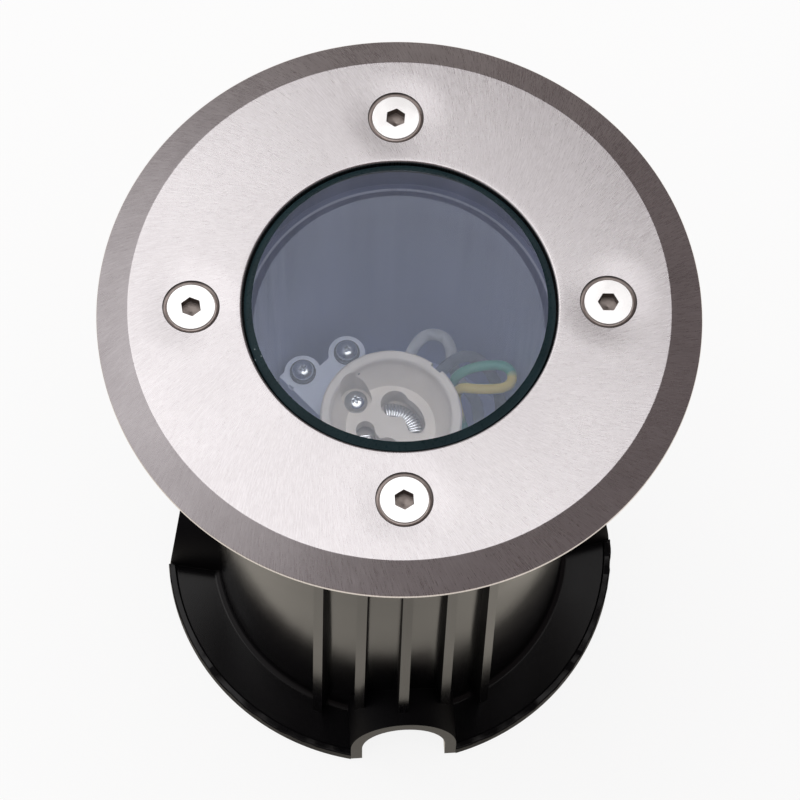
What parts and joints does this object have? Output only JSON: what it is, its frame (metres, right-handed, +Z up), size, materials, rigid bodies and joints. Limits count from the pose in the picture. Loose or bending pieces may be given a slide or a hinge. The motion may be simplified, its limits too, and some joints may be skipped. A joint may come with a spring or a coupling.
{
  "type": "in-ground well light",
  "caption": "Round in-ground light: brushed bezel with a flush glass lens over a sealed housing with a twist-lock lampholder, standing in a ribbed ground sleeve.",
  "frame": {"origin": "centre of the sleeve's base, on the plane it stands on", "axes": "+Z up along the light's axis, -Y along one of the four cable tunnels in the base"},
  "size_m": [0.11, 0.11, 0.13],
  "materials": {
    "stainless_brushed": "brushed",
    "stainless_bright": "bright",
    "lens_glass": "clear",
    "black_rubber": "matte",
    "housing_paint": "satin",
    "ceramic": "satin",
    "contact_metal": "bright",
    "zinc_screw": "bright",
    "zinc_sheet": "satin",
    "white_nylon": "matte",
    "terminal_brass": "satin",
    "white_sleeving": "matte",
    "earth_insulation": "gloss",
    "gland_nylon": "matte",
    "sleeve_plastic": "gloss"
  },
  "bodies": {
    "sleeve": {"ground_sleeve": "sleeve_plastic"},
    "fitting": {"bezel_ring": "stainless_brushed", "bezel_screws": "stainless_bright", "glass_lens": "lens_glass", "lens_gasket": "black_rubber", "housing_can": "housing_paint", "lampholder_body": "ceramic", "lampholder_cover": "ceramic", "lampholder_contacts": "contact_metal", "holder_screws": "zinc_screw", "holder_nuts": "zinc_screw", "holder_bracket": "zinc_sheet", "bracket_washers": "zinc_screw", "bracket_screws": "zinc_screw", "terminal_block": "white_nylon", "terminal_inserts": "terminal_brass", "clamp_screws": "zinc_screw", "block_screw": "zinc_screw", "earth_lug": "contact_metal", "earth_screw": "terminal_brass", "lead_hoop": "white_sleeving", "lead_short": "white_sleeving", "earth_lead": "earth_insulation", "gland_body": "gland_nylon", "gland_seal": "black_rubber", "gland_oring": "black_rubber", "gland_locknut": "gland_nylon", "gland_nut": "gland_nylon"}
  },
  "joints": [
    {"name": "fitting_lift", "type": "slide", "parent": "sleeve", "child": "fitting", "axis": [0, 0, 1], "range_m": [0, 0.113]}
  ]
}
